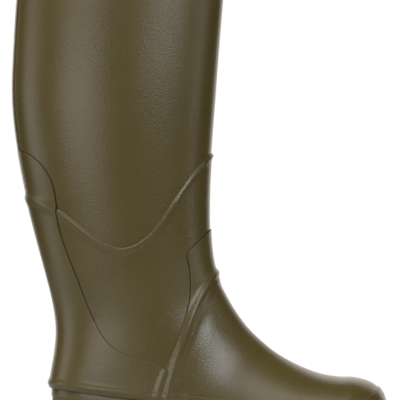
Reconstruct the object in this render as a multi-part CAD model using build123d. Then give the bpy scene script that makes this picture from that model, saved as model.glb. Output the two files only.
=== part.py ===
"""Insulated rubber hunting boot, right foot, at its real size, in millimetres.

Frame: +X towards the toe, +Y towards the medial side, +Z up, with the ground at Z = 0 and the
origin under the centre of the boot's bounding box.

The boot's form is a fan of closed sections. They are horizontal in the leg, turn about the instep,
and stand upright in the toe. Every layer, from the knitted lining to the rubber overlays, is the same
fan grown or shrunk by its own offset from the leg sheet's outer surface, so the layers nest without
overlap. The outlines of the overlays are drawn in side view and cut straight through, so the lateral
and medial sides match.
"""
from build123d import *
import math
import os
from collections import namedtuple

# ---------------------------------------------------------------- driving dimensions
BOOT_HEIGHT = 423.0          # ground to the top edge
SIDE_REACH = 90.0            # half the width that every cutter spans
FAR = 220.0                  # past the boot's ends, for cutters

# Offsets from the leg sheet's outer surface, from the cavity outwards.
HEM_IN = -8.4
LINING_IN = -7.2
INSULATION_IN = -6.2
STIFFENER_IN = -3.4
RUBBER_IN = -2.2
GUARD_OUT = 0.9
STRIP_OUT = 0.9
BINDING_OUT = 1.6
PANEL_OUT = 2.0
FOXING_OUT = 3.4
RIB_OUT = 4.2

BINDING_HEIGHT = 13.0
BINDING_CAP = 2.0            # the binding's thickness over the top edge
HEM_HEIGHT = 22.0
BACK_STRIP_WIDTH = 20.0
BACK_STRIP_FOOT = 215.0      # cutter height, hidden behind the counter's top edge
RIB_WIDTH = 6.0
FOOT_SPLIT_Z = 150.0         # where the leg's and the foot's insulation are seamed
TOE_PUFF_X = 122.0
HEEL_STIFFENER_X = -72.0
HEEL_STIFFENER_Z = 106.0

BAND_HEIGHT = 7.5            # the foxing strip round the top of the sole
BAND_PROUD = 0.9
SOLE_AT_HEEL = -1.4          # the sole's outline is tucked under the counter
SOLE_AT_FOREFOOT = 3.2       # and stands proud of the vamp
PRISM_TOP = 70.0
WALL = 7.4                   # the sole's wall, under the upper's layers
BOARD = 2.5
SHANK = 1.6
SHANK_WIDTH = 18.0
SHANK_ENDS = (-80.0, 24.0)
FELT = 1.5
FOOTBED = 6.0
FOOTBED_GAP = 1.6            # round the footbed, so that it can be pulled out
FOOTBED_INSETS = (-9.2, -11.6)   # its plan outline at the heel and the forefoot
FOOTBED_FLOAT = 0.2          # between the footbed and the felt under it
CUSHION_DEPTH = 7.0
CUSHION_RADII = (27.0, 19.0)
CUSHION_X = -92.0
LUG_DEPTH = 6.0
LUG_LENGTH = 8.5             # along the boot
LUG_PITCH = 14.5
LUG_SWEEP = 9.0              # how far a bar runs forward from the middle to the edge
LUG_GROOVE = 5.0             # between the two sides' bars
EDGE_GROOVE = 3.0            # from the tread's bars to the outsole's outline
HEEL_BREAST = -44.0
ARCH_HEIGHT = 15.0
FOREFOOT_BACK = 6.0
SOLE_SAMPLES = 44            # points that carry the sole's plan outline

Station = namedtuple("Station", "front back half_width centre_y front_power back_power")

# The boot's last, from above the top edge to the toe tip. front and back are the section's two ends in
# side view, (x, z). A power of 2 is an ellipse, and a higher one is squarer.
LAST = [
    Station((24.2, 440.0), (-154.6, 440.0), 49.5, 0.0, 2.0, 2.0),
    Station((20.7, 391.0), (-159.5, 391.0), 50.5, 0.0, 2.0, 2.0),
    Station((17.0, 346.0), (-162.3, 346.0), 51.5, 0.0, 2.0, 2.0),
    Station((13.8, 303.0), (-163.4, 305.0), 52.0, 0.0, 2.0, 2.0),
    Station((10.7, 262.0), (-159.8, 267.0), 51.0, 0.0, 2.0, 2.0),
    Station((8.6, 225.0), (-152.8, 228.0), 49.0, 0.0, 2.0, 2.0),
    Station((8.4, 192.0), (-143.4, 189.0), 46.5, 0.0, 2.0, 2.0),
    Station((10.1, 168.0), (-133.4, 152.0), 44.0, 0.0, 2.0, 2.1),
    Station((14.3, 149.0), (-126.2, 122.0), 42.0, 0.0, 2.0, 2.1),
    Station((20.8, 133.2), (-124.1, 98.0), 41.0, 0.0, 1.9, 2.2),
    Station((29.2, 118.3), (-126.9, 74.0), 41.0, 0.0, 1.9, 2.3),
    Station((38.2, 105.6), (-130.0, 54.0), 41.0, 0.0, 1.9, 2.4),
    Station((44.5, 98.5), (-130.5, 38.0), 41.0, 0.0, 1.9, 2.4),
    Station((52.0, 91.4), (-126.0, 18.0), 41.0, 0.0, 1.9, 2.4),
    Station((62.0, 83.0), (-106.0, -6.0), 41.5, 0.0, 1.9, 2.4),
    Station((75.0, 74.6), (-62.0, -24.0), 43.0, 0.0, 2.0, 2.3),
    Station((93.0, 66.0), (4.0, -32.0), 47.5, 0.0, 2.1, 2.2),
    Station((112.0, 60.3), (70.0, -24.0), 48.5, 0.8, 2.2, 2.2),
    Station((127.6, 58.4), (110.0, -10.0), 46.0, 2.4, 2.3, 2.2),
    Station((140.4, 56.5), (134.2, 0.0), 40.0, 4.2, 2.3, 2.2),
    Station((150.2, 52.8), (147.4, 8.0), 31.5, 5.6, 2.2, 2.2),
    Station((156.5, 46.6), (155.3, 16.0), 22.0, 6.5, 2.1, 2.1),
    Station((159.7, 39.2), (158.9, 22.0), 13.0, 7.0, 2.0, 2.0),
    Station((160.5, 33.2), (160.3, 28.0), 7.0, 7.0, 2.0, 2.0),
]

# Side-view lines, (x, z), from the rear or upper end to the front or lower end.
SOLE_LINE = [
    (-170, 54.0), (-128, 51.4), (-87, 46.4), (-36, 41.0), (20, 35.5), (80, 31.0), (130, 33.0), (180, 39.5),
]
TOE_SPRING = [(84, 0.0), (110, 1.3), (135, 4.8), (160, 10.2), (180, 15.6)]   # the ground is flat behind it
GUARD_LINE = [
    (22, 268), (-3, 242), (-30, 204), (-48, 182), (-66, 174),
    (-88, 183), (-122, 207), (-150, 219), (-175, 224),
]
COUNTER_LINE = [
    (-185, 260), (-159, 258.6), (-148, 254.5), (-135, 243), (-127, 227), (-122.8, 198), (-107, 150),
    (-92.5, 113), (-73, 86), (-46, 76), (-24, 64.5), (-11.5, 46.7), (-6, 20),
]
VAMP_LINE = [
    (24, 203), (10.4, 191.5), (-4.6, 176.6), (-10.0, 170.6), (-11.5, 166.6), (-10.4, 161), (-8.8, 150),
    (-8.4, 134), (-12.4, 115), (-22.4, 87), (-31.2, 67.5), (-44, 20),
]
RIB_LINE = [(36, 168), (18, 155.5), (5.3, 141), (-2.5, 126), (-12.9, 98.7), (-19.5, 79), (-34, 20)]
FOXING_LINE = [
    (-34, 48.6), (-11.5, 46.4), (18, 42.4), (60, 38.5), (100, 38.0),
    (134, 41.3), (151, 46.5), (157, 52.5), (175, 60),
]
UNDERLAY_LINE = [(60, 160), (30, 112), (12, 60), (4, 10)]


# ---------------------------------------------------------------- the fan of sections
def outward(points, index, side):
    """The side-view normal of a profile at one of its points, pointing out of the boot."""
    before, after = points[max(index - 1, 0)], points[min(index + 1, len(points) - 1)]
    tx, tz = after[0] - before[0], after[1] - before[1]
    length = math.hypot(tx, tz)
    return -tz * side / length, tx * side / length


def section_frame(index, offset):
    """A station's centre, its half axis towards the front end in side view, and its half width."""
    station = LAST[index]
    nfx, nfz = outward([s.front for s in LAST], index, 1)
    nbx, nbz = outward([s.back for s in LAST], index, -1)
    front = (station.front[0] + offset * nfx, station.front[1] + offset * nfz)
    back = (station.back[0] + offset * nbx, station.back[1] + offset * nbz)
    before, after = LAST[max(index - 1, 0)], LAST[min(index + 1, len(LAST) - 1)]
    run = math.hypot(
        (after.front[0] + after.back[0] - before.front[0] - before.back[0]) / 2,
        (after.front[1] + after.back[1] - before.front[1] - before.back[1]) / 2,
    )
    slope = (after.half_width - before.half_width) / run
    centre = Vector((front[0] + back[0]) / 2, station.centre_y, (front[1] + back[1]) / 2)
    axis = Vector((front[0] - back[0]) / 2, 0, (front[1] - back[1]) / 2)
    return centre, axis, station.half_width + offset / math.hypot(1, slope)


def fullness(power):
    """The handle length of the cubic quarter that passes through a superellipse's middle point."""
    return (8 * 2 ** (-1 / power) - 4) / 3


def section_wire(index, offset):
    """A closed section in four cubic quarters, which meet smoothly at the ends and the sides."""
    station = LAST[index]
    centre, axis, half_width = section_frame(index, offset)
    side = Vector(0, half_width, 0)
    corners = [(axis, side, station.front_power), (side, -axis, station.back_power)]
    corners += [(-axis, -side, station.back_power), (-side, axis, station.front_power)]
    quarters = []
    for start, end, power in corners:
        k = fullness(power)
        quarters.append(
            Edge.make_bezier(centre + start, centre + start + end * k, centre + end + start * k, centre + end)
        )
    return Wire(quarters)


_forms = {}


def form(offset):
    """The boot's whole closed form at an offset, reaching above the top edge and below the sole."""
    if offset not in _forms:
        _forms[offset] = Solid.make_loft([section_wire(i, offset) for i in range(len(LAST))])
    return _forms[offset]


# ---------------------------------------------------------------- cutters
def across(face_edges):
    """A side-view outline cut right through the boot."""
    face = Face(Wire(face_edges)).moved(Location((0, -SIDE_REACH, 0)))
    return Solid.extrude(face, Vector(0, 2 * SIDE_REACH, 0))


def curve_edge(line):
    return Edge.make_spline([Vector(x, 0, z) for x, z in line])


def straight_edges(points):
    return [Edge.make_line(Vector(a[0], 0, a[1]), Vector(b[0], 0, b[1])) for a, b in zip(points, points[1:])]


def ground_edges(dz):
    """The tread's underside in side view, raised by dz: flat to the ball of the foot, then rising."""
    spring = [Vector(x, 0, z + dz) for x, z in TOE_SPRING]
    rise = (spring[-1] - spring[-2]).normalized()
    return [Edge.make_line(Vector(-170, 0, dz), spring[0]), Edge.make_spline(spring, [Vector(1, 0, 0), rise])]


def beyond(line, *corners):
    """The side-view region between a smooth line and straight runs through the corners."""
    return across([curve_edge(line), *straight_edges([line[-1], *corners, line[0]])])


def between(first, second):
    """The side-view region between two smooth lines that run the same way."""
    edges = [curve_edge(first), *straight_edges([first[-1], second[-1]])]
    edges += [curve_edge(second[::-1]), *straight_edges([second[0], first[0]])]
    return across(edges)


def above_ground(dz, *top):
    """The region from the raised underside up to straight runs through the top's points."""
    start = Vector(-170, 0, dz)
    end = Vector(TOE_SPRING[-1][0], 0, TOE_SPRING[-1][1] + dz)
    ends = [(end.X, end.Z), *top, (start.X, start.Z)]
    return across([*ground_edges(dz), *straight_edges(ends)])


def moved(line, dx=0.0, dz=0.0):
    return [(x + dx, z + dz) for x, z in line]


def slab(low, high):
    """The region between two heights above the sole line."""
    return between(moved(SOLE_LINE, dz=low), moved(SOLE_LINE, dz=high))


def block(x0, x1, z0, z1, half_width=SIDE_REACH):
    return Solid.make_box(x1 - x0, 2 * half_width, z1 - z0, Plane((x0, -half_width, z0)))


def solids_of(shape):
    """Every solid in the result of a boolean."""
    if shape is None:
        return []
    if isinstance(shape, (list, tuple)):
        return [s for item in shape for s in solids_of(item)]
    return list(shape.solids())


def one(shape, least=1.0):
    """The result of a boolean as one shape, without crumbs under a cubic millimetre."""
    found = [s for s in solids_of(shape) if s.volume > least]
    return found[0] if len(found) == 1 else Compound(children=found)


LAYER_TOP = BOOT_HEIGHT - BINDING_CAP
ABOVE_SOLE = beyond(SOLE_LINE, (180, LAYER_TOP), (-170, LAYER_TOP))
GUARD_REGION = beyond(GUARD_LINE, (-FAR, 224), (-FAR, 0), (FAR, 0), (FAR, 268))
COUNTER_REGION = beyond(COUNTER_LINE, (-6, 0), (-FAR, 0), (-FAR, 260))
VAMP_REGION = beyond(VAMP_LINE, (-44, 0), (FAR, 0), (FAR, 203))
FOXING_REGION = beyond(FOXING_LINE, (FAR, 60), (FAR, 0), (-34, 0))
UNDERLAY_REGION = beyond(UNDERLAY_LINE, (4, 0), (FAR, 0), (FAR, 160))
RIB_REGION = between(moved(RIB_LINE, dx=-RIB_WIDTH / 2), moved(RIB_LINE, dx=RIB_WIDTH / 2))
LEG_REGION = block(-FAR, FAR, FOOT_SPLIT_Z, BOOT_HEIGHT + 40)


def shell(inner, outer):
    """The upper between two offsets, from the sole line to the top edge."""
    return (form(outer) & ABOVE_SOLE) - form(inner)


# ---------------------------------------------------------------- the upper
def make_upper():
    rubber = shell(RUBBER_IN, 0)
    insulation = shell(INSULATION_IN, RUBBER_IN)
    lining = shell(LINING_IN, INSULATION_IN)
    stiffener = shell(STIFFENER_IN, RUBBER_IN)
    panel = shell(0, PANEL_OUT)
    guard = (shell(0, GUARD_OUT) & GUARD_REGION) - UNDERLAY_REGION
    toe_puff = stiffener & block(TOE_PUFF_X, FAR, 0, 100)
    heel_stiffener = stiffener & block(-FAR, HEEL_STIFFENER_X, 0, HEEL_STIFFENER_Z)
    rim = block(-FAR, FAR, BOOT_HEIGHT - BINDING_HEIGHT, LAYER_TOP)
    cap = block(-FAR, FAR, LAYER_TOP, BOOT_HEIGHT)
    cap_ring = (form(BINDING_OUT) & cap) - form(LINING_IN)
    strip_box = block(-FAR, -100, BACK_STRIP_FOOT, BOOT_HEIGHT - BINDING_HEIGHT, BACK_STRIP_WIDTH / 2)
    return {
        "leg_sheet": rubber - UNDERLAY_REGION,
        "vamp_underlay": rubber & UNDERLAY_REGION,
        "ankle_guard": guard,
        "heel_counter": (panel & COUNTER_REGION) - guard,
        "vamp": ((panel & VAMP_REGION) - guard) - COUNTER_REGION,
        "instep_rib": (shell(PANEL_OUT, RIB_OUT) & RIB_REGION) - COUNTER_REGION,
        "toe_foxing": (shell(PANEL_OUT, FOXING_OUT) & FOXING_REGION) - COUNTER_REGION - RIB_REGION,
        "toe_puff": toe_puff,
        "heel_stiffener": heel_stiffener,
        "insulation_leg": insulation & LEG_REGION,
        "insulation_foot": (insulation - LEG_REGION) - toe_puff - heel_stiffener,
        "lining_leg": lining & LEG_REGION,
        "lining_foot": lining - LEG_REGION,
        "lining_hem": shell(HEM_IN, LINING_IN) & block(-FAR, FAR, BOOT_HEIGHT - HEM_HEIGHT, LAYER_TOP),
        "back_strip": (shell(0, STRIP_OUT) & strip_box) - COUNTER_REGION,
        "top_binding": (shell(0, BINDING_OUT) & rim) + cap_ring,
    }


# ---------------------------------------------------------------- the sole unit
def forefoot_share(x):
    """0 at the heel, 1 at the forefoot, and smooth through the waist."""
    share = min(max((x + 60) / 80, 0), 1)
    return share * share * (3 - 2 * share)


def plan_outline(heel, forefoot):
    """Points round the leg sheet's foot at the sole line, grown by one amount at each end of the boot."""
    cut = form(0) & ABOVE_SOLE
    under = max((f for f in cut.faces() if f.normal_at().Z < -0.8), key=lambda f: f.area)
    wire = under.outer_wire()
    points = [wire.position_at(k / SOLE_SAMPLES) for k in range(SOLE_SAMPLES)]
    area = sum(a.X * b.Y - b.X * a.Y for a, b in zip(points, points[1:] + points[:1]))
    turn = 1 if area > 0 else -1
    grown = []
    for k, p in enumerate(points):
        before, after = points[k - 1], points[(k + 1) % SOLE_SAMPLES]
        tangent = Vector(after.X - before.X, after.Y - before.Y, 0).normalized()
        out = Vector(tangent.Y * turn, -tangent.X * turn, 0)
        grown.append(Vector(p.X, p.Y, 0) + out * (heel + (forefoot - heel) * forefoot_share(p.X)))
    return grown


def plan_prism(heel, forefoot):
    face = Face(Wire([Edge.make_spline(plan_outline(heel, forefoot), periodic=True)]))
    return Solid.extrude(face, Vector(0, 0, PRISM_TOP))


def sole_prism(extra=0.0):
    """The sole's outline, grown or shrunk, as an upright prism."""
    return plan_prism(SOLE_AT_HEEL + extra, SOLE_AT_FOREFOOT + extra)


def lug_bars():
    """Swept bars in two rows, for the heel and the forefoot, as one tall cutter each."""
    bars = []
    reach = SIDE_REACH
    lead = LUG_SWEEP * reach / 50
    x = -132.0
    while x < 160:
        in_heel = x + LUG_LENGTH < HEEL_BREAST
        in_forefoot = x > FOREFOOT_BACK
        if in_heel or in_forefoot:
            for side in (-1, 1):
                near, far = side * LUG_GROOVE / 2, side * reach
                corners = [(x, near), (x + LUG_LENGTH, near), (x + LUG_LENGTH + lead, far), (x + lead, far)]
                face = Face(Wire.make_polygon([Vector(cx, cy, -20) for cx, cy in corners]))
                bars.append(Solid.extrude(face, Vector(0, 0, 60)))
        x += LUG_PITCH
    return bars


def make_sole():
    outer = sole_prism()
    inner = sole_prism(-WALL)
    foam_floor = [(-170, 14.0), (-100, 14.0), (-40, 21.0), (20, 17.0), (80, 12.0), (130, 15.5), (180, 25.0)]
    below_band = beyond(moved(SOLE_LINE, dz=-BAND_HEIGHT), (180, -30), (-170, -30))
    body = (outer & above_ground(LUG_DEPTH, (180, 90), (-170, 90))) & below_band
    arch = block(HEEL_BREAST, FOREFOOT_BACK, -10, ARCH_HEIGHT)
    tread = (sole_prism(-EDGE_GROOVE) & above_ground(0, (180, 90), (-170, 90))) - above_ground(
        LUG_DEPTH + 1, (180, 90), (-170, 90)
    )
    lugs = [piece for bar in lug_bars() for piece in solids_of(tread & bar) if piece.volume > 30]
    foam_space = inner & between(foam_floor, moved(SOLE_LINE, dz=-BOARD))
    outsole = ((body + lugs) - arch) - foam_space
    cushion = Solid.extrude(
        Face(Wire([Edge.make_ellipse(*CUSHION_RADII, Plane((CUSHION_X, 0, 0)))])), Vector(0, 0, 70)
    ) & slab(-BOARD - CUSHION_DEPTH, -BOARD)
    shank = block(*SHANK_ENDS, 0, 70, SHANK_WIDTH / 2) & slab(-BOARD - SHANK, -BOARD)
    shank = shank - cushion
    upper_inside = form(LINING_IN - 0.3)
    footbed_low = FELT + FOOTBED_FLOAT
    return {
        "outsole": outsole,
        "sole_band": (sole_prism(BAND_PROUD) - inner) & slab(-BAND_HEIGHT, 0),
        "midsole_foam": (foam_space - cushion) - shank,
        "heel_cushion": cushion,
        "shank": shank,
        "insole_board": inner & slab(-BOARD, 0),
        "insole_felt": upper_inside & slab(0, FELT),
        "footbed": (form(LINING_IN - FOOTBED_GAP) & slab(footbed_low, footbed_low + FOOTBED))
        & plan_prism(*FOOTBED_INSETS),
    }


def main():
    os.makedirs("parts", exist_ok=True)
    nodes = {**make_upper(), **make_sole()}
    low, high = [1e9] * 3, [-1e9] * 3
    for name, shape in nodes.items():
        solid = one(shape)
        export_step(solid, f"parts/{name}.step")
        bounds = solid.bounding_box()
        low = [min(a, b) for a, b in zip(low, bounds.min)]
        high = [max(a, b) for a, b in zip(high, bounds.max)]
    print("box", [round(v, 2) for v in low], [round(v, 2) for v in high])


main()
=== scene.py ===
"""Visual model of an insulated rubber hunting boot, in metres, in the CAD frame.

The boot's form is the CAD's fan of sections, evaluated here as one smooth surface. Each rubber overlay is a
mesh of its own, laid on that surface at its own height, with rolled edges along its side-view outline.
Lengths in the tables below are in millimetres.
"""

import math

import bmesh
import bpy
import numpy as np
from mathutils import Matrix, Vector
from mathutils.geometry import delaunay_2d_cdt


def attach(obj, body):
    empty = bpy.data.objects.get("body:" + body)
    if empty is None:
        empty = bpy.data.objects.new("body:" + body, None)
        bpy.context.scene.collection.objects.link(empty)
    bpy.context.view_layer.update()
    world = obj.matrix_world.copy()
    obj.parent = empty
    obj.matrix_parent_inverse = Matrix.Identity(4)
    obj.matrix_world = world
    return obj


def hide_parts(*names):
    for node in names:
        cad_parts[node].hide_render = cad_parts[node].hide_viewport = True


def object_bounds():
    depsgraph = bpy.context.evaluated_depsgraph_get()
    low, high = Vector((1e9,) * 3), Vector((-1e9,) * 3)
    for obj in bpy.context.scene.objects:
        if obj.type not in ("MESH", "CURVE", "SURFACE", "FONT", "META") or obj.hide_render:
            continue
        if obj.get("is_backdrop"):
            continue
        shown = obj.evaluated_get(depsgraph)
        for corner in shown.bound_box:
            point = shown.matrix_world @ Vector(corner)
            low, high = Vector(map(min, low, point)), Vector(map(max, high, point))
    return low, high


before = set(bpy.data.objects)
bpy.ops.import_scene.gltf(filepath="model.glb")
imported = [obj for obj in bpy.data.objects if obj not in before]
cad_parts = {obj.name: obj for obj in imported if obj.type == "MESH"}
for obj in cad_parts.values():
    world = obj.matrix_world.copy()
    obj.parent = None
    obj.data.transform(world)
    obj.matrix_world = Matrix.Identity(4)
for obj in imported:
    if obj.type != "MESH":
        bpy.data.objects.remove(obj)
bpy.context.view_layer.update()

# ------------------------------------------------------------------------------------ the boot's form
# front x, front z, back x, back z, half width, centre y, front power, back power
LAST = np.array([
    (24.2, 440.0, -154.6, 440.0, 49.5, 0.0, 2.0, 2.0),
    (20.7, 391.0, -159.5, 391.0, 50.5, 0.0, 2.0, 2.0),
    (17.0, 346.0, -162.3, 346.0, 51.5, 0.0, 2.0, 2.0),
    (13.8, 303.0, -163.4, 305.0, 52.0, 0.0, 2.0, 2.0),
    (10.7, 262.0, -159.8, 267.0, 51.0, 0.0, 2.0, 2.0),
    (8.6, 225.0, -152.8, 228.0, 49.0, 0.0, 2.0, 2.0),
    (8.4, 192.0, -143.4, 189.0, 46.5, 0.0, 2.0, 2.0),
    (10.1, 168.0, -133.4, 152.0, 44.0, 0.0, 2.0, 2.1),
    (14.3, 149.0, -126.2, 122.0, 42.0, 0.0, 2.0, 2.1),
    (20.8, 133.2, -124.1, 98.0, 41.0, 0.0, 1.9, 2.2),
    (29.2, 118.3, -126.9, 74.0, 41.0, 0.0, 1.9, 2.3),
    (38.2, 105.6, -130.0, 54.0, 41.0, 0.0, 1.9, 2.4),
    (44.5, 98.5, -130.5, 38.0, 41.0, 0.0, 1.9, 2.4),
    (52.0, 91.4, -126.0, 18.0, 41.0, 0.0, 1.9, 2.4),
    (62.0, 83.0, -106.0, -6.0, 41.5, 0.0, 1.9, 2.4),
    (75.0, 74.6, -62.0, -24.0, 43.0, 0.0, 2.0, 2.3),
    (93.0, 66.0, 4.0, -32.0, 47.5, 0.0, 2.1, 2.2),
    (112.0, 60.3, 70.0, -24.0, 48.5, 0.8, 2.2, 2.2),
    (127.6, 58.4, 110.0, -10.0, 46.0, 2.4, 2.3, 2.2),
    (140.4, 56.5, 134.2, 0.0, 40.0, 4.2, 2.3, 2.2),
    (150.2, 52.8, 147.4, 8.0, 31.5, 5.6, 2.2, 2.2),
    (156.5, 46.6, 155.3, 16.0, 22.0, 6.5, 2.1, 2.1),
    (159.7, 39.2, 158.9, 22.0, 13.0, 7.0, 2.0, 2.0),
    (160.5, 33.2, 160.3, 28.0, 7.0, 7.0, 2.0, 2.0),
])
SOLE_LINE = [(-170, 54.0), (-128, 51.4), (-87, 46.4), (-36, 41.0), (20, 35.5), (80, 31.0), (130, 33.0), (180, 39.5)]
GUARD_LINE = [
    (22, 268), (-3, 242), (-30, 204), (-48, 182), (-66, 174), (-88, 183), (-122, 207), (-150, 219), (-175, 224),
]
COUNTER_LINE = [
    (-185, 260), (-159, 258.6), (-148, 254.5), (-135, 243), (-127, 227), (-122.8, 198), (-107, 150),
    (-92.5, 113), (-73, 86), (-46, 76), (-24, 64.5), (-11.5, 46.7), (-6, 20),
]
VAMP_LINE = [
    (24, 203), (10.4, 191.5), (-4.6, 176.6), (-10.0, 170.6), (-11.5, 166.6), (-10.4, 161), (-8.8, 150),
    (-8.4, 134), (-12.4, 115), (-22.4, 87), (-31.2, 67.5), (-44, 20),
]
RIB_LINE = [(36, 168), (18, 155.5), (5.3, 141), (-2.5, 126), (-12.9, 98.7), (-19.5, 79), (-34, 20)]
FOXING_LINE = [
    (-34, 48.6), (-11.5, 46.4), (18, 42.4), (60, 38.5), (100, 38.0), (134, 41.3), (151, 46.5), (157, 52.5), (175, 60),
]
TOE_CREASE = [(118, 90), (128, 62), (128, 40), (126, 20)]

TOP = 423.0
BINDING = 13.0                           # the top binding's depth


def spline(knots, values):
    """A natural cubic spline through the rows of values, as a function of an array."""
    t, y = np.asarray(knots, float), np.asarray(values, float)
    y = y[:, None] if y.ndim == 1 else y
    n = len(t)
    h = np.diff(t)
    a = np.zeros((n, n))
    r = np.zeros((n, y.shape[1]))
    a[0, 0] = a[-1, -1] = 1
    for i in range(1, n - 1):
        a[i, i - 1], a[i, i], a[i, i + 1] = h[i - 1], 2 * (h[i - 1] + h[i]), h[i]
        r[i] = 6 * ((y[i + 1] - y[i]) / h[i] - (y[i] - y[i - 1]) / h[i - 1])
    m = np.linalg.solve(a, r)

    def at(x):
        """The spline's rows at each x."""
        x = np.clip(np.asarray(x, float), t[0], t[-1])
        i = np.clip(np.searchsorted(t, x) - 1, 0, n - 2)
        d, e, hi = (t[i + 1] - x)[:, None], (x - t[i])[:, None], h[i][:, None]
        return (m[i] * d**3 + m[i + 1] * e**3) / (6 * hi) + (y[i] / hi - m[i] * hi / 6) * d + (
            y[i + 1] / hi - m[i + 1] * hi / 6
        ) * e

    return at


def chords(points):
    """Distance along a run of points."""
    p = np.asarray(points, float)
    return np.concatenate([[0], np.cumsum(np.linalg.norm(np.diff(p, axis=0), axis=1))])


def smooth_line(points, step=0.5):
    """A side-view line through its points, in fine steps."""
    p = np.asarray(points, float)
    s = chords(p)
    return spline(s, p)(np.arange(0, s[-1], step))


station_at = (chords(LAST[:, 0:2]) + chords(LAST[:, 2:4])) / 2
last = spline(station_at, LAST)
W_END = station_at[-1]
W_STEP, ANGLE_STEP = 0.5, 1e-3           # the half steps that slopes are measured over


def section(w):
    """A section's centre, its half axis in side view, half width, centre y and powers, at distances w."""
    v = last(w)
    centre = (v[:, 0:2] + v[:, 2:4]) / 2
    axis = (v[:, 0:2] - v[:, 2:4]) / 2
    return centre, axis, v[:, 4], v[:, 5], v[:, 6], v[:, 7]


def axial(theta, front_power, back_power):
    """How far along its axis, and across it, a section's point at an angle is."""
    c, s = np.cos(theta), np.sin(theta)
    power = back_power + (front_power - back_power) * (1 + c) / 2
    k = (np.abs(c) ** power + np.abs(s) ** power) ** (-1 / power)
    return k * c, k * s


def surface(w, theta):
    """Points on the leg sheet's outer surface."""
    w, theta = np.broadcast_arrays(np.asarray(w, float), np.asarray(theta, float))
    centre, axis, half, cy, fp, bp = section(w)
    along, across = axial(theta, fp, bp)
    return np.stack([centre[:, 0] + along * axis[:, 0], cy + across * half, centre[:, 1] + along * axis[:, 1]], 1)


def surface_normal(w, theta):
    """Outward unit normals, which lie in the middle plane along the front and the back."""
    dw = surface(np.minimum(w + W_STEP, W_END), theta) - surface(np.maximum(w - W_STEP, 0), theta)
    dt = surface(w, theta + ANGLE_STEP) - surface(w, theta - ANGLE_STEP)
    n = np.cross(dw, dt)
    n /= np.linalg.norm(n, axis=1)[:, None]
    centre, _, _, cy, *_ = section(w)
    out = surface(w, theta) - np.stack([centre[:, 0], cy, centre[:, 1]], 1)
    return np.where((np.sum(n * out, axis=1) < 0)[:, None], -n, n)


def side_of_line(w, p):
    """Positive where a side-view point lies above the section's line at w."""
    centre, axis, *_ = section(w)
    d = p - centre
    return axis[:, 0] * d[:, 1] - axis[:, 1] * d[:, 0]


def station_of(p):
    """The distance w whose section's line, in side view, passes through each point."""
    low, high = np.zeros(len(p)), np.full(len(p), W_END)
    for _ in range(40):
        mid = (low + high) / 2
        above = side_of_line(mid, p) > 0
        low, high = np.where(above, low, mid), np.where(above, mid, high)
    return (low + high) / 2


def from_side(p):
    """Side-view points as (w, theta, share of the half axis). A share past 1 is off the boot."""
    p = np.asarray(p, float)
    w = station_of(p)
    centre, axis, _, _, fp, bp = section(w)
    share = np.sum((p - centre) * axis, axis=1) / np.sum(axis * axis, axis=1)
    low, high = np.zeros(len(p)), np.full(len(p), math.pi)
    for _ in range(50):
        mid = (low + high) / 2
        over = axial(mid, fp, bp)[0] > share
        low, high = np.where(over, mid, low), np.where(over, high, mid)
    return w, (low + high) / 2, share


def quarter(w):
    """The length of a quarter of a section, about."""
    _, axis, half, *_ = section(w)
    a = np.linalg.norm(axis, axis=1)
    h = ((a - half) / (a + half)) ** 2
    return math.pi / 4 * (a + half) * (1 + 3 * h / (10 + np.sqrt(4 - 3 * h)))


def unroll(w, theta):
    """The flat plane that one half of the boot is meshed in: the side view with its sections unrolled."""
    centre, axis, *_ = section(w)
    unit = axis / np.linalg.norm(axis, axis=1)[:, None]
    return centre + unit * (quarter(w) * (1 - theta / (math.pi / 2)))[:, None]


def roll(p):
    """Points of the unrolled plane back as (w, theta)."""
    w = station_of(p)
    centre, axis, *_ = section(w)
    unit = axis / np.linalg.norm(axis, axis=1)[:, None]
    return w, (1 - np.sum((p - centre) * unit, axis=1) / quarter(w)) * math.pi / 2


# ------------------------------------------------------------------------------------ heights
CHUNK = 4000                             # points measured at a time, to save memory


def signed_distance(line, p):
    """Distance from a side-view line, positive on its left as it runs from its first point to its last."""
    pts = smooth_line(line, 1.0)
    a, ab = pts[:-1], np.diff(pts, axis=0)
    out = np.zeros(len(p))
    for chunk in range(0, len(p), CHUNK):
        q = p[chunk:chunk + CHUNK]
        t = np.clip(np.einsum("ijk,jk->ij", q[:, None] - a[None], ab) / np.sum(ab * ab, 1), 0, 1)
        d = q[:, None] - (a[None] + t[..., None] * ab[None])
        dist = np.linalg.norm(d, axis=2)
        k = np.argmin(dist, axis=1)
        r = np.arange(len(q))
        cross = ab[k, 0] * d[r, k, 1] - ab[k, 1] * d[r, k, 0]
        out[chunk:chunk + CHUNK] = np.sign(cross) * dist[r, k]
    return out


def step(d, width):
    """0 to 1 as d passes from -width to width."""
    t = np.clip(d / width, -1, 1) / 2 + 0.5
    return t * t * (3 - 2 * t)


def hump(d, middle, width):
    """A rounded ridge across a line: 1 at its middle, falling away over its width."""
    return np.exp(-(((d - middle) / width) ** 2))


def side_view(w, theta):
    """The surface's points in side view."""
    return surface(w, theta)[:, [0, 2]]


def fold(d):
    """The instep rib's profile across its line: a rounded fold with a shallow valley in front of it."""
    return 2.1 * hump(d, 0, 2.6) + 0.5 * hump(d, 5.5, 2.2) - 0.4 * hump(d, 12.0, 5.0)


def guard_height(w, theta):
    """A thin overlay whose upper edge is a rounded bead, wider towards the heel."""
    q = side_view(w, theta)
    d = signed_distance(GUARD_LINE, q)
    wide = 1.5 + 1.3 * step(-60 - q[:, 0], 50)
    return 0.8 + 1.3 * hump(d, wide, wide)


def vamp_height(w, theta):
    """The vamp overlay, with the instep rib and the step at the toe cap."""
    q = side_view(w, theta)
    return 1.9 + fold(signed_distance(RIB_LINE, q)) + 0.8 * step(signed_distance(TOE_CREASE, q), 5.0)


sole_fine = smooth_line(SOLE_LINE)


def sole_z(x):
    """The sole line's height."""
    return np.interp(x, sole_fine[:, 0], sole_fine[:, 1])


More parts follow.
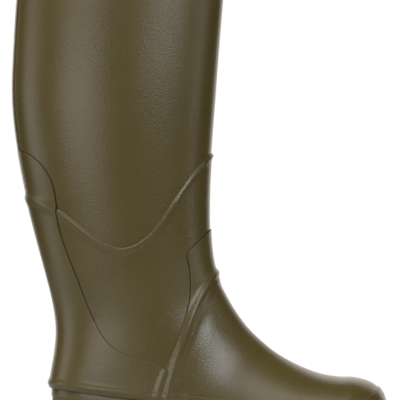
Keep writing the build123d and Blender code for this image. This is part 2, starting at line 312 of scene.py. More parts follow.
def above_sole(q):
    """Height of side-view points over the sole line."""
    return q[:, 1] - sole_z(q[:, 0])


def counter_height(w, theta):
    """The heel counter, raised where it lies over the guard, the vamp and the rib, with a spur above the sole."""
    q = side_view(w, theta)
    guard = signed_distance(GUARD_LINE, q)
    vamp = signed_distance(VAMP_LINE, q)
    rib = signed_distance(RIB_LINE, q)
    over = above_sole(q)
    bead = 1.1 * hump(guard, 2.0, 3.2)
    spur = 1.3 * hump(over, 5.0, 2.6) * (0.35 + 0.65 * step(-60 - q[:, 0], 60))
    tuck = -0.8 * hump(over, 0, 1.6)
    lump = 0.5 * step(vamp, 3.0) + 0.8 * hump(vamp, 1.0, 2.0) + 1.3 * hump(rib, 0, 2.4)
    return 1.1 + 0.8 * step(guard, 3.5) + bead + lump + spur + tuck


def foxing_height(w, theta):
    """The toe foxing, on top of the vamp."""
    return vamp_height(w, theta) + 1.3


# ------------------------------------------------------------------------------------ materials
GRAIN_SHARE = 0.35                       # the fine grain's part in the change of colour
COLOUR_SPREAD = 0.05                     # how far the colour changes either way
GRAIN_DEPTH = 0.0002


def material(name, base, rough, grain=1400.0, bump=0.2, spec=0.5):
    """A matt to glossy surface with a fine grain, and slow changes of colour and roughness."""
    mat = bpy.data.materials.new(name)
    mat.use_nodes = True
    tree = mat.node_tree
    nodes, links = tree.nodes, tree.links
    shader = nodes["Principled BSDF"]
    coords = nodes.new("ShaderNodeTexCoord")
    noises = []
    for scale, detail in ((14.0, 5.0), (grain, 3.0)):
        noise = nodes.new("ShaderNodeTexNoise")
        noise.inputs["Scale"].default_value = scale
        noise.inputs["Detail"].default_value = detail
        links.new(coords.outputs["Object"], noise.inputs["Vector"])
        noises.append(noise.outputs["Fac"])
    slow, fine = noises
    mix = nodes.new("ShaderNodeMath")
    mix.operation = "MULTIPLY_ADD"
    mix.inputs[1].default_value = GRAIN_SHARE
    links.new(fine, mix.inputs[0])
    links.new(slow, mix.inputs[2])
    shift = nodes.new("ShaderNodeMath")
    shift.operation = "SUBTRACT"
    shift.inputs[1].default_value = GRAIN_SHARE / 2
    links.new(mix.outputs[0], shift.inputs[0])
    ramp = nodes.new("ShaderNodeValToRGB")
    for end, position, factor in zip(ramp.color_ramp.elements, (0.3, 0.7), (1 - COLOUR_SPREAD, 1 + COLOUR_SPREAD)):
        end.position = position
        end.color = [c * factor for c in base] + [1]
    links.new(shift.outputs[0], ramp.inputs["Fac"])
    links.new(ramp.outputs["Color"], shader.inputs["Base Color"])
    gloss = nodes.new("ShaderNodeMapRange")
    gloss.inputs["To Min"].default_value = rough - 0.05
    gloss.inputs["To Max"].default_value = rough + 0.07
    links.new(slow, gloss.inputs["Value"])
    links.new(gloss.outputs["Result"], shader.inputs["Roughness"])
    relief = nodes.new("ShaderNodeBump")
    relief.inputs["Strength"].default_value = bump
    relief.inputs["Distance"].default_value = GRAIN_DEPTH
    links.new(fine, relief.inputs["Height"])
    links.new(relief.outputs["Normal"], shader.inputs["Normal"])
    shader.inputs["Specular IOR Level"].default_value = spec
    return mat


olive = (0.080, 0.0575, 0.0155)
rubber = material("olive_rubber", olive, 0.27, grain=800.0, bump=0.9)
# a dark copy of the olive rubber: painted shade for the crevice along an overlay's edge
painted_edge_shade = material("rubber_painted_edge_shade", tuple(0.3 * c for c in olive), 0.8, spec=0.15)


# ------------------------------------------------------------------------------------ meshing
def inside(polygon, p):
    """Which points are in a closed polygon."""
    x, y = p[:, 0], p[:, 1]
    hit = np.zeros(len(p), bool)
    for (ax, ay), (bx, by) in zip(polygon, np.roll(polygon, -1, axis=0)):
        if ay == by:
            continue
        crosses = ((ay > y) != (by > y)) & (x < (bx - ax) * (y - ay) / (by - ay) + ax)
        hit ^= crosses
    return hit


def polygon_clearance(polygon, p):
    """Each point's distance from a polygon's edges."""
    best = np.full(len(p), 1e9)
    for a, b in zip(polygon, np.roll(polygon, -1, axis=0)):
        ab = b - a
        t = np.clip(((p - a) @ ab) / max(ab @ ab, 1e-12), 0, 1)
        best = np.minimum(best, np.linalg.norm(p - a - t[:, None] * ab, axis=1))
    return best


def resample(w, theta, spacing):
    """Evenly spaced points along a run of (w, theta), by its length on the surface."""
    s = chords(surface(w, theta))
    count = max(int(round(s[-1] / spacing)), 2)
    at = np.linspace(0, s[-1], count + 1)
    return np.interp(at, s, w), np.interp(at, s, theta)


def on_boot(line, spacing):
    """A side-view line as (w, theta), cut off where it leaves the boot, whose ends then lie on the middle."""
    fine = smooth_line(line, 0.05)
    w, theta, share = from_side(fine)
    keep = np.abs(share) <= 1
    first, final = np.argmax(keep), len(keep) - 1 - np.argmax(keep[::-1])
    w, theta = w[first:final + 1], theta[first:final + 1]
    if first > 0:
        theta[0] = 0.0 if theta[0] < 1 else math.pi
    if final < len(keep) - 1:
        theta[-1] = 0.0 if theta[-1] < 1 else math.pi
    return resample(w, theta, spacing)


def cut_at(line_w, line_t, keep):
    """The first unbroken stretch of a run where keep is true."""
    k = np.flatnonzero(keep)
    return line_w[k[0]:k[-1] + 1], line_t[k[0]:k[-1] + 1]


def middle(w0, w1, theta, spacing=2.5):
    """A run along the boot's middle plane, at the front (theta 0) or the back (pi)."""
    n = max(int(abs(w1 - w0) / spacing), 2)
    w = np.linspace(w0, w1, n + 1)
    return w, np.full(n + 1, theta)


TOP_MARGIN = 0.9                         # how far the last ring lies inside a rolled edge
DARK_RINGS = 3                           # how many strips of a wall, from its foot, can take the painted shade


def signed_area(p):
    """Twice a plane polygon's area, positive when it runs anticlockwise."""
    q = np.roll(p, -1, axis=0)
    return np.sum(p[:, 0] * q[:, 1] - q[:, 0] * p[:, 1])


def rolled_edge(w, theta, height, thickness, radius, slant, flip):
    """Rings from an overlay's foot, up its wall and over its rolled edge, for the +Y half.

    The last ring lies on the overlay's top, and also comes back as (w, theta) for the top's own outline.
    """
    base = surface(w, theta)
    normal = surface_normal(w, theta)
    tangent = np.gradient(base, axis=0)
    for end in (0, -1):
        if theta[end] < 1e-9 or theta[end] > math.pi - 1e-9:
            tangent[end] = (0, np.sign(tangent[end][1]) or 1, 0)
            normal[end][1] = 0
            normal[end] /= np.linalg.norm(normal[end])
    tangent /= np.linalg.norm(tangent, axis=1)[:, None]
    inward = np.cross(normal, tangent) * flip
    inward /= np.linalg.norm(inward, axis=1)[:, None]
    top = height(w, theta)
    rings = [base - inward * slant + normal * (top - thickness)[:, None]]
    for angle in (0, 18, 36, 54, 72, 90):
        a = math.radians(angle)
        inset, rise = radius * (1 - math.cos(a)), top - radius * (1 - math.sin(a))
        rings.append(base + inward * inset + normal * rise[:, None])
    reach = radius + TOP_MARGIN
    rings.append(base + inward * reach + normal * top[:, None])
    dw = (surface(w + W_STEP, theta) - surface(w - W_STEP, theta))
    dt = (surface(w, theta + ANGLE_STEP) - surface(w, theta - ANGLE_STEP)) / (2 * ANGLE_STEP)
    top_w, top_t = [], []
    for i in range(len(w)):
        slopes = np.stack([dw[i], dt[i]], 1)
        move = np.linalg.lstsq(slopes, inward[i] * reach, rcond=None)[0]
        top_w.append(w[i] + move[0])
        top_t.append(theta[i] + move[1])
    return rings, np.array(top_w), np.clip(np.array(top_t), 0, math.pi)


def build_mesh(name, verts, faces, second=()):
    """A smooth mesh object. The faces in second take its second material, the dark rubber of painted shade."""
    mesh = bpy.data.meshes.new(name)
    mesh.from_pydata([tuple(v) for v in verts], [], [tuple(f) for f in faces])
    for i in second:
        mesh.polygons[i].material_index = 1
    if second:
        mesh.materials.append(rubber)
        mesh.materials.append(painted_edge_shade)
    mesh.validate()
    obj = bpy.data.objects.new(name, mesh)
    bpy.context.scene.collection.objects.link(obj)
    for p in mesh.polygons:
        p.use_smooth = True
    return obj


def triangular_grid(polygon, spacing):
    """Points in a polygon on a triangular grid, clear of its edges."""
    low, high = polygon.min(0), polygon.max(0)
    grid = []
    for j, z in enumerate(np.arange(low[1], high[1], spacing * math.sqrt(3) / 2)):
        x = np.arange(low[0] + (j % 2) * spacing / 2, high[0], spacing)
        grid.append(np.stack([x, np.full(len(x), z)], 1))
    grid = np.concatenate(grid)
    grid = grid[inside(polygon, grid)]
    return grid[polygon_clearance(polygon, grid) > spacing * 0.55]


def overlay_top(outline_w, outline_t, height, spacing):
    """An overlay's top inside its outline: its points, its faces, and where each outline point went."""
    polygon = unroll(outline_w, outline_t)
    grid = triangular_grid(polygon, spacing)
    grid_w, grid_t = roll(grid)
    points = [Vector(p) for p in np.concatenate([polygon, grid])]
    made = delaunay_2d_cdt(points, [], [list(range(len(polygon)))], 1, 1e-5)
    out_verts, out_faces, origins = made[0], made[2], made[3]
    all_w, all_t = np.concatenate([outline_w, grid_w]), np.concatenate([outline_t, grid_t])
    pick = [o[0] if o else -1 for o in origins]
    w, t = np.zeros(len(pick)), np.zeros(len(pick))
    for i, o in enumerate(pick):
        if o >= 0:
            w[i], t[i] = all_w[o], all_t[o]
    extra = [i for i, o in enumerate(pick) if o < 0]
    if extra:
        w[extra], t[extra] = roll(np.array([out_verts[i][:] for i in extra]))
    t = np.clip(t, 0, math.pi)
    top = surface(w, t) + surface_normal(w, t) * height(w, t)[:, None]
    return top, out_faces, {o: i for i, o in enumerate(pick) if o >= 0}


def overlay(name, runs, height, thickness, radius=0.8, slant=0.8, spacing=2.4, shaded=math.inf):
    """One overlay's mesh, both halves. runs are the closed outline's stretches: (w, theta, free).

    A free stretch has a wall that leans out by slant, and a rolled edge. Above shaded, the wall takes painted shade.
    """
    verts, faces, dark = [], [], []
    outline_w, outline_t = [], []
    rings_of = []
    plan = np.concatenate([unroll(w, t) for w, t, _ in runs])
    flip = -1 if signed_area(plan) > 0 else 1
    for w, t, free in runs:
        if not free:
            outline_w.extend(w[1:-1])
            outline_t.extend(t[1:-1])
            continue
        rings, edge_w, edge_t = rolled_edge(w, t, height, thickness, radius, slant, flip)
        start, n, k = len(verts), len(w), len(rings) - 1
        for ring in rings[:-1]:
            verts.extend(ring)
        for r in range(k - 1):
            for i in range(n - 1):
                a, b = start + r * n + i, start + r * n + i + 1
                # walls higher than shaded get the dark rubber: painted shade in the crevice under the edge
                if r < DARK_RINGS and rings[0][i][2] > shaded:
                    dark.append(len(faces))
                faces.append((a, b, b + n, a + n))
        rings_of.append((start + (k - 1) * n, n, len(outline_w)))
        outline_w.extend(edge_w)
        outline_t.extend(edge_t)
    top, top_faces, place = overlay_top(np.array(outline_w), np.array(outline_t), height, spacing)
    base = len(verts)
    verts.extend(top)
    faces.extend(tuple(base + i for i in f) for f in top_faces)
    for ring_start, n, first in rings_of:
        for i in range(n - 1):
            a, b = place.get(first + i), place.get(first + i + 1)
            if a is not None and b is not None:
                faces.append((ring_start + i, ring_start + i + 1, base + b, base + a))
    verts = np.array(verts)
    count = len(verts)
    # the -Y half: the same points about each section's own middle
    other = verts.copy()
    other[:, 1] = 2 * section(station_of(verts[:, [0, 2]]))[3] - other[:, 1]
    both = np.concatenate([verts, other]) / 1000
    mirrored = [tuple(count + i for i in reversed(f)) for f in faces]
    obj = build_mesh(name, both, faces + mirrored, [*dark, *(len(faces) + i for i in dark)])
    tidy(obj)
    return obj


def face_outwards(obj, weld=None):
    """Turn every face outwards, after welding points that are closer than weld in metres."""
    bm = bmesh.new()
    bm.from_mesh(obj.data)
    if weld:
        bmesh.ops.remove_doubles(bm, verts=bm.verts, dist=weld)
        bmesh.ops.dissolve_degenerate(bm, dist=1e-7, edges=bm.edges)
    bmesh.ops.recalc_face_normals(bm, faces=bm.faces)
    bm.to_mesh(obj.data)
    bm.free()


def tidy(obj):
    """Weld an open mesh's halves and turn it outwards, away from the boot's middle."""
    face_outwards(obj, weld=2e-5)
    obj.data.update()
    out = 0.0
    polygons = list(obj.data.polygons)
    for p in polygons[::max(1, len(polygons) // 400)]:
        c = p.center * 1000
        centre, _, _, cy, *_ = section(station_of(np.array([[c.x, c.z]])))
        out += p.normal.dot(c - Vector((centre[0][0], cy[0], centre[0][1])))
    if out < 0:
        obj.data.flip_normals()


def joined(name, parts):
    """One object from several (verts, faces) in millimetres."""
    verts, faces = [], []
    for v, f in parts:
        faces += [tuple(i + len(verts) for i in face) for face in f]
        verts += [tuple(p) for p in v]
    return build_mesh(name, np.array(verts) / 1000, faces)


def ring_part(loops, closed=False):
    """A surface through equal closed loops of points. closed joins the last loop to the first."""
    n, count = len(loops[0]), len(loops)
    faces = [
        (r * n + c, r * n + (c + 1) % n, (r + 1) % count * n + (c + 1) % n, (r + 1) % count * n + c)
        for r in range(count if closed else count - 1) for c in range(n)
    ]
    return np.concatenate(loops), faces


def strip_faces(rows, n):
    """The faces of an open grid of rows of n points."""
    corners = [r * n + c for r in range(rows - 1) for c in range(n - 1)]
    return [(i, i + 1, i + n + 1, i + n) for i in corners]


def loop_at(w, offset, columns):
    """A loop round the boot at a section, at an offset from its outer surface."""
    theta = np.linspace(-math.pi, math.pi, columns, endpoint=False)
    w = np.full(columns, w)
    return surface(w, theta) + surface_normal(w, theta) * offset


def w_at_height(z):
    """The distance w of the horizontal section at a height in the leg."""
    return station_of(np.array([[-70.0, z]]))[0]


# ------------------------------------------------------------------------------------ overlays
EDGE_SPACING = 1.5                       # between an overlay outline's points
w_top = w_at_height(TOP - 2)
LEG_END = station_at[10]                 # the leg's foot, hidden under the counter and the vamp
leg = joined("leg", [ring_part([loop_at(w, 0.0, 144) for w in np.linspace(w_top, LEG_END, 111)])])
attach(leg, "boot")
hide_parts("leg_sheet")

sole_w, sole_t = on_boot(SOLE_LINE, EDGE_SPACING)    # heel to toe


def nearest_on_sole(w, t):
    """The index of the sole line's point nearest to (w, t)."""
    d = unroll(sole_w, sole_t) - unroll(np.array([w]), np.array([t]))
    return int(np.argmin(np.linalg.norm(d, axis=1)))


# heel counter
cw, ct = on_boot(COUNTER_LINE, EDGE_SPACING)
cw, ct = cut_at(cw, ct, above_sole(side_view(cw, ct)) > 0)
k = nearest_on_sole(cw[-1], ct[-1])
heel = (sole_w[:k + 1][::-1], sole_t[:k + 1][::-1])
back = middle(sole_w[0], cw[0], math.pi)
# above 112 mm the counter's wall takes the dark rubber of painted shade
counter = overlay("heel_counter_skin", [(cw, ct, True), (*heel, False), (*back, False)], counter_height,
                  thickness=3.4, radius=0.4, slant=2.8, spacing=1.7, shaded=112)
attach(counter, "boot")
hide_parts("heel_counter")

# vamp
vw, vt = on_boot(VAMP_LINE, EDGE_SPACING)
vw, vt = cut_at(vw, vt, above_sole(side_view(vw, vt)) > 0)
k = nearest_on_sole(vw[-1], vt[-1])
toe = (sole_w[k:], sole_t[k:])
front = middle(sole_w[-1], vw[0], 0.0)
# above 118 mm the vamp's wall takes the dark rubber of painted shade
vamp = overlay("vamp_skin", [(vw, vt, True), (*toe, False), (*front, False)], vamp_height,
               thickness=2.6, radius=0.45, slant=1.4, spacing=1.8, shaded=118)
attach(vamp, "boot")
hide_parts("vamp", "instep_rib")

# ankle guard: its hidden lower edge lies under the counter and the vamp
gw, gt = on_boot(GUARD_LINE, EDGE_SPACING)
GUARD_BACK = -140
gw, gt = cut_at(gw, gt, side_view(gw, gt)[:, 0] > GUARD_BACK)
hidden = [(GUARD_BACK, 205), (-128, 176), (-112, 132), (-98, 100), (-78, 78), (-50, 67), (-38, 58), (-24, 64),
          (-10, 96), (2, 128), (4, 150), (4, 164), (8, 174), (20, 188)]
hw, ht = on_boot(hidden, 3.0)
front = middle(hw[-1], gw[0], 0.0)
guard = overlay("ankle_guard_skin", [(gw, gt, True), (hw, ht, False), (*front, False)], guard_height,
                thickness=2.6, radius=0.9)
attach(guard, "boot")
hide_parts("ankle_guard")

# toe foxing
fw, ft = on_boot(FOXING_LINE, EDGE_SPACING)
fw, ft = cut_at(fw, ft, side_view(fw, ft)[:, 0] > -20)
k = nearest_on_sole(fw[0], ft[0])
toe = (sole_w[k:][::-1], sole_t[k:][::-1])
front = middle(fw[-1], sole_w[-1], 0.0)
foxing = overlay("toe_foxing_skin", [(fw, ft, True), (*front, False), (*toe, False)], foxing_height,
                 thickness=1.9, radius=0.6, slant=0.6)
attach(foxing, "boot")
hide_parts("toe_foxing")


def leg_loop(offset, z):
    """A level loop round the leg at an offset from its outer surface."""
    p = loop_at(w_at_height(z), offset, 168)
    p[:, 2] = z
    return p


# top binding: a strip folded over the top edge, with a rolled rim
low_edge = TOP - BINDING
profile = [(0.1, low_edge - 0.3), (0.9, low_edge - 0.25), (1.3, low_edge + 0.1), (1.6, low_edge + 0.8)]
profile += [(1.6, TOP - 8.5), (1.6, TOP - 5), (1.6, TOP - 3.2)]
profile += [(-0.4 + 2.0 * math.cos(a), TOP - 2.0 + 2.0 * math.sin(a)) for a in np.radians((18, 36, 54, 72, 90))]
profile += [(-2.8, TOP + 0.0), (-5.6, TOP - 0.1)]
profile += [(-6.0 - 1.6 * math.sin(a), TOP - 1.7 + 1.6 * math.cos(a)) for a in np.radians((20, 45, 70, 90))]
profile += [(-7.6, TOP - 4.0), (-7.2, TOP - 4.6), (-2.0, TOP - 4.6), (-0.2, TOP - 6.0)]
binding = joined("top_binding_strip", [ring_part([leg_loop(o, z) for o, z in profile], closed=True)])
face_outwards(binding)
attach(binding, "boot")
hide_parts("top_binding")

# lining: the cloth inside, down to the footbed, where it lies on the insole
LINING_OFFSET, OVER_INSOLE = -7.2, 0.6
cloth = []
for w in np.linspace(w_at_height(TOP - 3), W_END - 1.0, 91):
    p = loop_at(w, LINING_OFFSET, 120)
    p[:, 2] = np.maximum(p[:, 2], sole_z(p[:, 0]) + OVER_INSOLE)
    cloth.append(p)
lining = joined("lining_cloth_tube", [ring_part(cloth)])
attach(lining, "boot")
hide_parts("lining_leg", "lining_foot")

# hem: the lining's doubled top, with two sewn grooves
hem_profile = [(-7.0, TOP - 22.6), (-7.9, TOP - 22.5), (-8.35, TOP - 21.9), (-8.4, TOP - 20.8), (-8.4, TOP - 19.4),
               (-8.0, TOP - 18.9), (-8.4, TOP - 18.4), (-8.4, TOP - 12), (-8.4, TOP - 7.0), (-8.0, TOP - 6.5),
               (-8.4, TOP - 6.0), (-8.3, TOP - 4.4), (-7.7, TOP - 3.4), (-7.0, TOP - 3.2)]
hem = joined("lining_hem_band", [ring_part([leg_loop(o, z) for o, z in hem_profile])])
face_outwards(hem)
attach(hem, "boot")
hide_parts("lining_hem")

# back strip: a flat tape down the back, from the binding to under the counter
STRIP_HALF, STRIP_FOOT = 10.0, 252.0
across_strip = [(-1.0, -0.25), (-1.0, 0.45), (-0.985, 0.7), (-0.955, 0.86), (-0.90, 0.9)]
across_strip += [(x, 0.9) for x in (-0.6, -0.3, 0.0, 0.3, 0.6)]
across_strip += [(-x, h) for x, h in across_strip[:5][::-1]]
strip_y, strip_rise = np.array(across_strip).T
rows = []
for z in np.linspace(low_edge + 0.5, STRIP_FOOT, 60):
    w = np.full(len(strip_y), w_at_height(z))
    theta = math.pi - np.arcsin(np.clip(strip_y * STRIP_HALF / section(w)[2], -1, 1))
    rows.append(surface(w, theta) + surface_normal(w, theta) * strip_rise[:, None])
strip = joined("back_strip_tape", [(np.concatenate(rows), strip_faces(len(rows), len(strip_y)))])
tidy(strip)
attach(strip, "boot")
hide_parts("back_strip")


# ------------------------------------------------------------------------------------ the sole
SOLE_GROWTH = np.array([-1.4, 3.2])      # from the upper's outline to the sole's, at the heel and the forefoot


def forefoot_share(x):
    """0 at the heel to 1 at the forefoot."""
    t = np.clip((x + 60) / 80, 0, 1)
    return t * t * (3 - 2 * t)


def plan_loop(growth, count=260):
    """The closed plan outline of the upper at the sole line, grown by one amount at the heel and one in front."""
    w = np.concatenate([sole_w, sole_w[::-1][1:-1]])
    th = np.concatenate([sole_t, -sole_t[::-1][1:-1]])
    p = surface(w, th)[:, :2]
    closed = np.vstack([p, p[:1]])
    s = chords(closed)
    at = np.linspace(0, s[-1], count, endpoint=False)
    p = np.stack([np.interp(at, s, closed[:, 0]), np.interp(at, s, closed[:, 1])], 1)
    for _ in range(3):
        p = (np.roll(p, 1, 0) + 2 * p + np.roll(p, -1, 0)) / 4
    t = np.roll(p, -1, 0) - np.roll(p, 1, 0)
    t /= np.linalg.norm(t, axis=1)[:, None]
    out = np.stack([t[:, 1], -t[:, 0]], 1)
    out *= 1 if signed_area(p) > 0 else -1
    heel, forefoot = growth
    grow = heel + (forefoot - heel) * forefoot_share(p[:, 0])
    return p + out * grow[:, None]


def at_sole(outset, rise):
    """A loop at an outset from the sole's outline and a height over the sole line."""
    p = plan_loop(SOLE_GROWTH + outset)
    return np.column_stack([p, sole_z(p[:, 0]) + rise])


band_profile = [(-4.0, 0.1), (0.1, 0.1), (0.55, -0.1), (0.82, -0.45), (0.9, -0.95), (0.9, -3.7), (0.9, -6.4),
                (0.8, -7.0), (0.5, -7.4), (0.0, -7.55), (-4.0, -7.55)]
band = joined("sole_band_strip", [ring_part([at_sole(o, z) for o, z in band_profile], closed=True)])
face_outwards(band)
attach(band, "boot")
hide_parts("sole_band")

# ------------------------------------------------------------------------------------ outsole
LUG_DEPTH = 6.0
HEEL_BREAST, FOREFOOT_BACK, ARCH_HEIGHT = -44.0, 6.0, 15.0
BAR_PITCH, BAR_WIDTH, BAR_SWEEP = 14.5, 8.5, 16.2
FINE_COUNT = 520                         # points round the tread's outline
spring_x, spring_z = (84, 110, 135, 160, 180), (0.0, 1.3, 4.8, 10.2, 15.6)
spring = spline(spring_x, spring_z)


def ground(x):
    """The lugs' underside: flat to the ball of the foot, then rising to the toe."""
    x = np.asarray(x, float)
    return np.where(x > spring_x[0], np.maximum(spring(x.ravel())[:, 0].reshape(x.shape), 0), 0)


def tread_base(x):
    """The height that the lugs stand down from, and the arch's between heel and forefoot."""
    x = np.asarray(x, float)
    return np.where((x > HEEL_BREAST) & (x < FOREFOOT_BACK), ARCH_HEIGHT, ground(x) + LUG_DEPTH)


def sides_at(loop, xs):
    """The two ys of a closed plan loop at each x, low and high."""
    rear, fore = int(np.argmin(loop[:, 0])), int(np.argmax(loop[:, 0]))
    loop = np.roll(loop, -rear, axis=0)
    k = (fore - rear) % len(loop)
    one, two = loop[:k + 1], np.vstack([loop[k:], loop[:1]])[::-1]
    ys = [np.interp(xs, c[:, 0], c[:, 1]) for c in (one, two)]
    return np.minimum(*ys), np.maximum(*ys)


def plate(loop, xs, z_of, shares=(0.0, 1.0)):
    """A surface across a plan loop, at the given xs, with its height from (x, share across)."""
    low, high = sides_at(loop, xs)
    verts = [(x, a + (b - a) * t, z_of(x, t)) for x, a, b in zip(xs, low, high) for t in shares]
    return verts, strip_faces(len(xs), len(shares))


def eased(low, high, count):
    """Numbers from low to high, closer together at both ends."""
    return (low + high) / 2 - (high - low) / 2 * np.cos(np.linspace(0, math.pi, count))


def inset(polygon, d):
    """A convex anticlockwise polygon moved inward by d."""
    p = np.asarray(polygon)
    edge = np.roll(p, -1, 0) - p
    edge /= np.linalg.norm(edge, axis=1)[:, None]
    out = np.stack([-edge[:, 1], edge[:, 0]], 1)
    before = np.roll(out, 1, 0)
    return p + (out + before) * (d / (1 + np.sum(out * before, axis=1)))[:, None]


def sole_loop(outset, z_of):
    """A loop at an outset from the sole's outline, with its height from x."""
    p = plan_loop(SOLE_GROWTH + outset, FINE_COUNT)
    return np.column_stack([p, z_of(p[:, 0])])


# a lug's rings, from inside the sole to its foot: how far in, and how high over its underside
LUG_RINGS = (
    (-0.7, LUG_DEPTH + 0.3), (-0.4, LUG_DEPTH - 0.6), (0.0, LUG_DEPTH - 1.4), (0.15, 0.7), (0.4, 0.2), (0.8, 0.02),
)


def lug(polygon):
    """A tapered bar with a bevelled foot, from a plan polygon."""
    p = np.asarray(polygon)
    p = p if signed_area(p) > 0 else p[::-1]
    rings = []
    for d, rise in LUG_RINGS:
        q = inset(p, d)
        rings.append(np.column_stack([q, ground(q[:, 0]) + rise]))
    verts, faces = ring_part(rings)
    n = len(p)
    return verts, [*faces, tuple(range(len(verts) - n, len(verts)))]


def tread_bars():
    """Plan polygons of the two rows of swept bars, trimmed to the tread's outline."""
    edge = plan_loop(SOLE_GROWTH - 3.0, FINE_COUNT)
    bars = []
    for x in np.arange(-132.0, 160.0, BAR_PITCH):
        if not (x + BAR_WIDTH < HEEL_BREAST or x > FOREFOOT_BACK):
            continue
        for side in (-1, 1):
            ends = []
            for start in (x, x + 2.8, x + 5.7, x + BAR_WIDTH):
                t = np.linspace(0, 1, 600)
                line = np.stack([start + BAR_SWEEP * t, side * (2.5 + 87.5 * t)], 1)
                good = inside(edge, line) & ((line[:, 0] < HEEL_BREAST - 0.2) | (start > FOREFOOT_BACK))
                if good[0] and np.argmin(good) > 20:
                    ends.append((line[0], line[np.argmin(good) - 1]))
            if len(ends) > 1:
                bars.append([ends[0][0], ends[-1][0], *(e[1] for e in ends[::-1])])
    return bars


wall = [sole_loop(0, lambda x: sole_z(x) - 7.2), sole_loop(0, lambda x: tread_base(x) + 1.6)]
wall += [sole_loop(-0.25, lambda x: tread_base(x) + 0.7), sole_loop(-0.8, lambda x: tread_base(x) + 0.15)]
wall += [sole_loop(-1.8, tread_base)]
rim = plan_loop(SOLE_GROWTH - 1.7, FINE_COUNT)
rim_low, rim_high = rim[:, 0].min(), rim[:, 0].max()
heel_x = HEEL_BREAST - (HEEL_BREAST - rim_low) * (1 - np.cos(np.linspace(math.pi / 2, 0, 50)))
fore_x = FOREFOOT_BACK + (rim_high - FOREFOOT_BACK) * np.sin(np.linspace(0, math.pi / 2, 90))
parts = [
    ring_part(wall),
    plate(rim, heel_x, lambda x, t: float(ground(x)) + LUG_DEPTH),
    plate(rim, np.array([HEEL_BREAST, FOREFOOT_BACK]), lambda x, t: ARCH_HEIGHT),
    plate(rim, fore_x, lambda x, t: float(ground(x)) + LUG_DEPTH),
]
for x in (HEEL_BREAST, FOREFOOT_BACK):
    low, high = sides_at(rim, np.array([x]))
    corners = [(x, low[0], LUG_DEPTH), (x, high[0], LUG_DEPTH), (x, high[0], ARCH_HEIGHT), (x, low[0], ARCH_HEIGHT)]
    parts.append((corners, [(0, 1, 2, 3)]))
parts += [lug(bar) for bar in tread_bars()]
outsole = joined("outsole_lugged", parts)
face_outwards(outsole)
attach(outsole, "boot")
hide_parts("outsole")

# ------------------------------------------------------------------------------------ footbed
FOOTBED_LOW, FOOTBED_HIGH, DISH = 1.7, 7.7, 1.0
BED_GROWTH = np.array([-10.8, -13.2])


def bed_loop(outset, rise):
    """A loop at an outset from the footbed's outline and a height over the sole line."""
    p = plan_loop(BED_GROWTH + outset)
    return np.column_stack([p, sole_z(p[:, 0]) + rise])


bed_edge = [bed_loop(o, z) for o, z in (
    (-1.6, FOOTBED_LOW), (-0.6, FOOTBED_LOW + 0.2), (-0.1, FOOTBED_LOW + 0.9), (0, 3.4), (0, 6.0),
    (-0.25, 6.9), (-0.9, 7.5), (-1.8, FOOTBED_HIGH),
)]
top_rim, under_rim = plan_loop(BED_GROWTH - 1.7), plan_loop(BED_GROWTH - 1.5)
bed_x = eased(top_rim[:, 0].min(), top_rim[:, 0].max(), 90)
across_bed = np.linspace(0, 1, 13)
parts = [
    ring_part(bed_edge),
    plate(top_rim, bed_x, lambda x, t: float(sole_z(x)) + FOOTBED_HIGH - DISH * (1 - (2 * t - 1) ** 4), across_bed),
    plate(under_rim, bed_x, lambda x, t: float(sole_z(x)) + FOOTBED_LOW),
]
bed = joined("footbed_cushion", parts)
face_outwards(bed)
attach(bed, "footbed")
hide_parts("footbed")

# ------------------------------------------------------------------------------------ finishes
for obj, node in ((leg, "leg_sheet"), (counter, "heel_counter"), (vamp, "vamp"), (guard, "ankle_guard"),
                  (foxing, "toe_foxing"), (binding, "top_binding"), (strip, "back_strip"), (band, "sole_band")):
    if not obj.data.materials:
        obj.data.materials.append(rubber)

sole_rubber = material("sole_rubber", (0.085, 0.066, 0.030), 0.55)
lining_mat = material("lining_cloth", (0.17, 0.14, 0.10), 0.9, grain=900, bump=0.5)
bed_mat = material("footbed_felt", (0.30, 0.27, 0.21), 0.95, grain=700, bump=0.8)
outsole.data.materials.append(sole_rubber)
bed.data.materials.append(bed_mat)
for obj, name in ((lining, "lining_leg"), (hem, "lining_hem")):
    obj.data.materials.append(lining_mat)
foam = material("foam", (0.045, 0.045, 0.042), 0.95, grain=1200, bump=0.8)
board = material("fibre_board", (0.16, 0.11, 0.06), 0.85)
steel = material("shank_steel", (0.45, 0.45, 0.44), 0.3, bump=0.1)
steel.node_tree.nodes["Principled BSDF"].inputs["Metallic"].default_value = 1.0
hidden_finish = {
    "toe_puff": board, "heel_stiffener": board, "insole_board": board, "shank": steel, "insulation_leg": foam,
    "insulation_foot": foam, "midsole_foam": foam, "heel_cushion": foam, "insole_felt": bed_mat,
}
for name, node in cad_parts.items():
    for material_slot in node.material_slots:
        material_slot.material = hidden_finish.get(name, rubber)


# ------------------------------------------------------------------------------------ stage
FLOOR_MIDDLE, FLOOR_RADIUS = 0.06, 0.62
floor_ring = [(FLOOR_RADIUS * math.cos(a), FLOOR_MIDDLE + FLOOR_RADIUS * math.sin(a), 0)
              for a in (2 * math.pi * k / 96 for k in range(96))]
floor = build_mesh("floor_disc", floor_ring, [tuple(range(96))])
pale = bpy.data.materials.new("pale_floor")
pale.use_nodes = True
pale.node_tree.nodes["Principled BSDF"].inputs["Base Color"].default_value = (0.6, 0.6, 0.6, 1)
pale.node_tree.nodes["Principled BSDF"].inputs["Roughness"].default_value = 0.9
floor.data.materials.append(pale)
floor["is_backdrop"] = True


def softbox(name, place, target, size, power, colour=(1, 1, 1)):
    """A rectangular lamp in metres and watts, turned to its target."""
    data = bpy.data.lights.new(name, "AREA")
    data.shape = "RECTANGLE"
    data.size, data.size_y = size
    data.energy = power
    data.color = colour
    obj = bpy.data.objects.new(name, data)
    bpy.context.scene.collection.objects.link(obj)
    obj.location = place
    obj.rotation_mode = "QUATERNION"
    obj.rotation_quaternion = (Vector(target) - Vector(place)).to_track_quat("-Z", "Y")
    obj.visible_camera = False


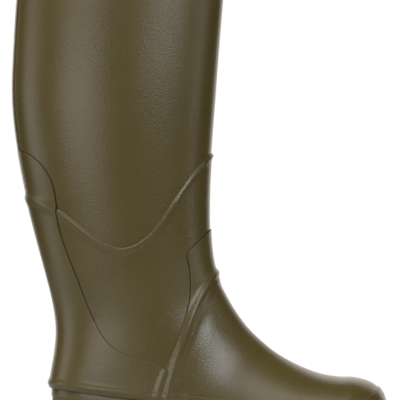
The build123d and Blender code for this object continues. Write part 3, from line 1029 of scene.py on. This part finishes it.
def around(azimuth, elevation, distance, height=0.2):
    """A place seen from the boot: azimuth 0 is the camera's side, and positive is towards the toe."""
    a, e = math.radians(azimuth), math.radians(elevation)
    level = distance * math.cos(e)
    return level * math.sin(a), -level * math.cos(a), height + distance * math.sin(e)


CENTRE = (-0.02, 0, 0.2)
softbox("key_left", around(-28, 3, 2.0), CENTRE, (1.05, 0.66), 7.6)
softbox("side_left", around(-82, 0, 1.6), CENTRE, (0.7, 0.9), 3.8)
softbox("fill_right", around(76, 10, 2.0), CENTRE, (0.4, 0.9), 2.6)
softbox("vamp_light", around(34, 23, 1.8, 0.1), (0.01, -0.03, 0.09), (0.95, 0.5), 12.5, (0.86, 0.93, 1.0))
softbox("overhead", around(-18, 54, 2.0, 0.1), (0, 0, 0.12), (2.6, 1.1), 22)
softbox("high_left", around(-72, 68, 1.8, 0.1), (0.05, 0, 0.05), (1.4, 1.2), 20)
softbox("behind", (0, 2.2, 1.0), (0, 0, 0.2), (4.4, 2.6), 50, (1.0, 0.95, 0.88))

# the surroundings look white, and give little light
world = bpy.data.worlds.new("studio")
bpy.context.scene.world = world
world.use_nodes = True
nodes, links = world.node_tree.nodes, world.node_tree.links
dim = nodes["Background"]
dim.inputs["Color"].default_value = (0.9, 0.92, 0.95, 1)
dim.inputs["Strength"].default_value = 0.02
white = nodes.new("ShaderNodeBackground")
white.inputs["Color"].default_value = (1, 1, 1, 1)
either = nodes.new("ShaderNodeMixShader")
links.new(nodes.new("ShaderNodeLightPath").outputs["Is Camera Ray"], either.inputs[0])
links.new(dim.outputs[0], either.inputs[1])
links.new(white.outputs[0], either.inputs[2])
links.new(either.outputs[0], nodes["World Output"].inputs["Surface"])

camera = bpy.data.cameras.new("camera")
camera.lens = 360
camera.sensor_width = 36
camera.clip_end = 50
cam = bpy.data.objects.new("camera", camera)
bpy.context.scene.collection.objects.link(cam)
cam.location = (0.0003, -3.5, 0.2153)
cam.rotation_euler = (math.radians(90), 0, 0)
bpy.context.scene.camera = cam
bpy.context.scene.view_settings.view_transform = "Standard"

low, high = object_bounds()
